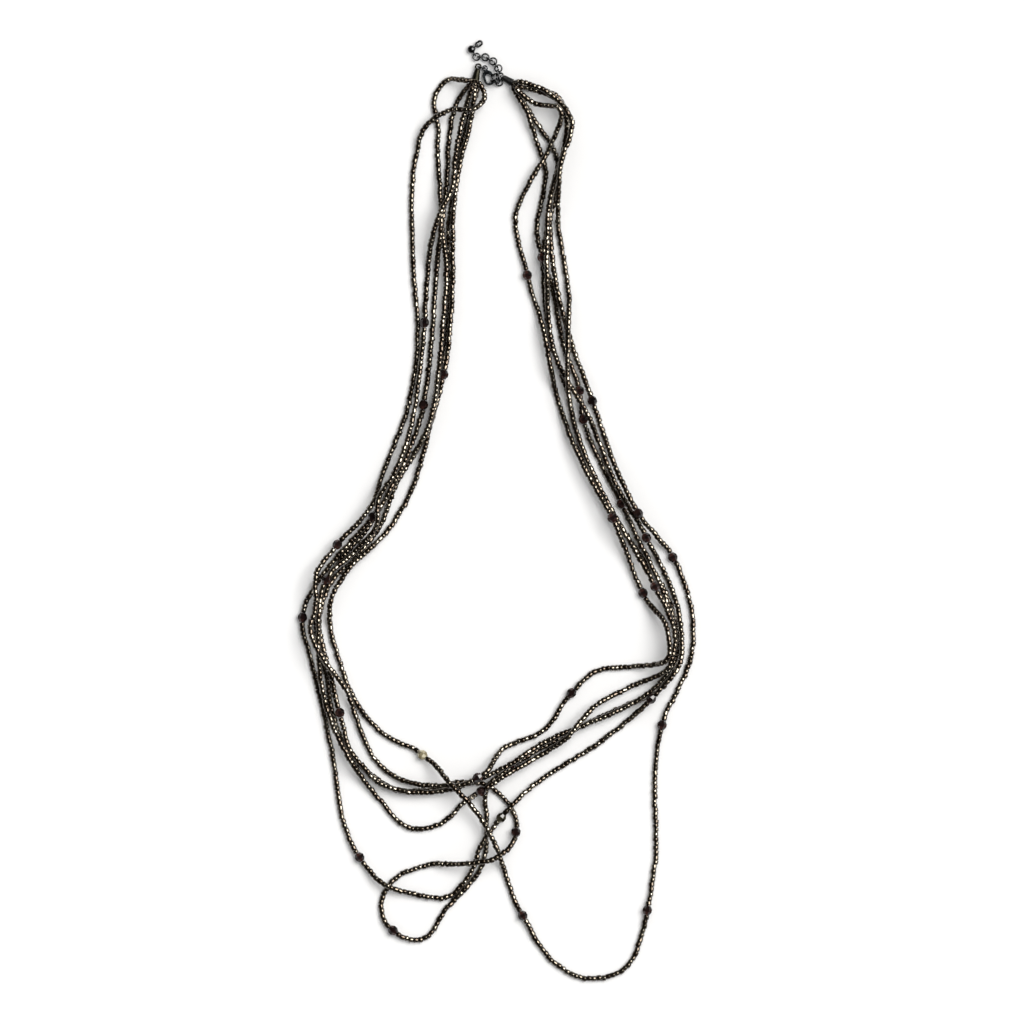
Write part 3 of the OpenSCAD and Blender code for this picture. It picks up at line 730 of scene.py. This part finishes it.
def metalMaterial(name):
    kind = metalLook["kinds"][name]
    material, tree, shader = newMaterial(name)
    spot = addNode(tree, "TexCoord").outputs["Object"]
    detail, roughness = metalLook["patinaDetail"], metalLook["patinaRoughness"]
    patina = noiseFrom(tree, spot, kind["grain"], detail, roughness)
    stops = list(zip(metalLook["stops"], kind["colours"]))
    tree.links.new(addRamp(tree, patina, stops), shader.inputs["Base Color"])
    tree.links.new(spreadTo(tree, patina, *kind["roughness"]), shader.inputs["Roughness"])
    shader.inputs["Metallic"].default_value = 1.0
    fine = noiseFrom(tree, spot, kind["grain"] * metalLook["fineScale"], metalLook["fineDetail"])
    bumpFrom(tree, shader, fine, kind["bump"], metalLook["bumpDepth"])
    return material


def setMaterial(thing, *materials):
    thing.data.materials.clear()
    for material in materials:
        thing.data.materials.append(material)


bronzeSeeds, darkThread = seedMaterial(), threadMaterial()
smokyCrystal = crystalMaterial("smokyCrystal", "stops")
paleCrystal = crystalMaterial("champagneCrystal", "paleStops")
oliveCrystal = crystalMaterial("oliveCrystal", "oliveStops")
crystalKinds = {crystalGlass["pale"]: paleCrystal, crystalGlass["olive"]: oliveCrystal}
chainMetal = metalMaterial("darkChainMetal")
coneMetals = {
    "end_cone_left": metalMaterial("oliveConeMetal"),
    "end_cone_right": metalMaterial("greyConeMetal"),
}
claspMetal = metalMaterial("gunmetalClasp")

# The strands: seeds and thread in one piece each
templates = seedTemplates()
for number, places in enumerate(allThreads):
    name = "beadString_" + str(number + 1)
    seeds = [seed for seed in allSeeds if seed.strand == number]
    bm = beadString(seeds, templates, dice)
    thread = threadMesh("threadOf" + name, places)
    beadFaces = len(bm.faces)
    bm.from_mesh(thread)
    bm.faces.ensure_lookup_table()
    for face in bm.faces[beadFaces:]:
        face.material_index = 1
    mesh = bpy.data.meshes.new(name)
    bm.to_mesh(mesh)
    bm.free()
    bpy.data.meshes.remove(thread)
    piece = addPiece(name, mesh)
    setMaterial(piece, bronzeSeeds, darkThread)
    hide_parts("string_" + str(number + 1))
for template in templates:
    bpy.data.meshes.remove(template)
print("bead strings made")

# Crystals, cones, rings and chain keep their shape from the frame
for name, node in nodes.items():
    if name.startswith("crystal"):
        setMaterial(node, crystalKinds.get(name, smokyCrystal))
    elif name in coneMetals:
        setMaterial(node, coneMetals[name])
    elif not name.startswith(("string", "clasp_body", "clasp_lever")):
        setMaterial(node, chainMetal)
print("frame pieces dressed")

# The clasp with its edges worn round, in metres
claspEdge = {
    "width": 0.00012,
    "segments": 3,
    "sharp": 50,  # degrees
    "weld": 0.000002,
    "sliver": 0.00002,  # shorter edges would make the bevel shoot out
    "level": 1,  # degrees within which faces count as one
    "flatWeight": 80,
}


def roundedCopy(name, node, body):
    bm = bmesh.new()
    bm.from_mesh(node.data)
    bmesh.ops.remove_doubles(bm, verts=bm.verts, dist=claspEdge["weld"])
    bmesh.ops.dissolve_degenerate(bm, edges=bm.edges, dist=claspEdge["sliver"])
    level = math.radians(claspEdge["level"])
    bmesh.ops.dissolve_limit(bm, angle_limit=level, verts=bm.verts, edges=bm.edges)
    for face in bm.faces:
        face.smooth = True
    mesh = bpy.data.meshes.new(name)
    bm.to_mesh(mesh)
    bm.free()
    piece = addPiece(name, mesh, body)
    bevel = piece.modifiers.new("wornEdge", "BEVEL")
    bevel.width = claspEdge["width"]
    bevel.segments = claspEdge["segments"]
    bevel.use_clamp_overlap = False
    bevel.limit_method = "ANGLE"
    bevel.angle_limit = math.radians(claspEdge["sharp"])
    evenShade = piece.modifiers.new("evenShade", "WEIGHTED_NORMAL")  # keeps the flat faces flat
    evenShade.weight = claspEdge["flatWeight"]
    return piece


claspParts = (("claspHook", "clasp_body", "necklace"), ("claspLever", "clasp_lever", "lever"))
for name, nodeName, body in claspParts:
    piece = roundedCopy(name, nodes[nodeName], body)
    setMaterial(piece, claspMetal)
    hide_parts(nodeName)
print("clasp rounded")

# Floor, light and camera
studio = {
    "floorSize": 3.0,
    "floorColour": (0.9, 0.9, 0.9),
    "floorShade": 0.99,  # the floor's darker spots, as a share of its colour
    "floorStops": (0.3, 0.7),
    "floorGrain": 60,
    "worldColour": (1.0, 1.0, 1.0, 1),
    "worldStrength": 0.48,
    "keyStrength": 2.55,  # lights the floor and casts the soft shadows
    "keyAngle": 42,
    "keyFrom": (0.5, 0.36, 1.15),
    "keyColour": (1.0, 0.99, 0.975),
    "glossStrength": 9.0,  # shows in the beads and the metal only
    "glossAngle": 46,
    "glossFrom": (0.6, 0.2, 0.77),
    "glossColour": (1.0, 0.982, 0.948),
}
view = {"centre": (0.0068, -0.0006), "height": 0.7, "width": 0.43008, "clip": (0.01, 10)}

bm = bmesh.new()
bmesh.ops.create_grid(bm, x_segments=1, y_segments=1, size=studio["floorSize"] / 2)
floorMesh = bpy.data.meshes.new("floor")
bm.to_mesh(floorMesh)
bm.free()
floor = bpy.data.objects.new("floor", floorMesh)
bpy.context.collection.objects.link(floor)
material, tree, shader = newMaterial("whiteFloor")
paper = noiseFrom(tree, addNode(tree, "TexCoord").outputs["Object"], studio["floorGrain"])
white = studio["floorColour"]
paperColours = (white, tuple(studio["floorShade"] * part for part in white))
paperStops = list(zip(studio["floorStops"], paperColours))
tree.links.new(addRamp(tree, paper, paperStops), shader.inputs["Base Color"])
shader.inputs["Roughness"].default_value = 1.0
shader.inputs["Specular IOR Level"].default_value = 0.0
setMaterial(floor, material)

world = bpy.data.worlds.new("studioWorld")
world.use_nodes = True
world.node_tree.nodes["Background"].inputs["Color"].default_value = studio["worldColour"]
world.node_tree.nodes["Background"].inputs["Strength"].default_value = studio["worldStrength"]
world.cycles_visibility.glossy = False
bpy.context.scene.world = world
bpy.context.scene.view_settings.view_transform = "Standard"


def softLight(name):
    light = bpy.data.lights.new(name + "Light", "SUN")
    light.energy, light.color = studio[name + "Strength"], studio[name + "Colour"]
    light.angle = math.radians(studio[name + "Angle"])
    lamp = bpy.data.objects.new(name + "Light", light)
    bpy.context.collection.objects.link(lamp)
    lamp.location = studio[name + "From"]
    lamp.rotation_euler = (-Vector(studio[name + "From"])).to_track_quat("-Z", "Y").to_euler()
    return lamp


softLight("key").visible_glossy = False
softLight("gloss").visible_diffuse = False

lens = bpy.data.cameras.new("camera")
lens.type = "ORTHO"
lens.ortho_scale = view["width"]
lens.clip_start, lens.clip_end = view["clip"]
camera = bpy.data.objects.new("camera", lens)
bpy.context.collection.objects.link(camera)
camera.location = (*view["centre"], view["height"])
bpy.context.scene.camera = camera
print("floor, light and camera set")
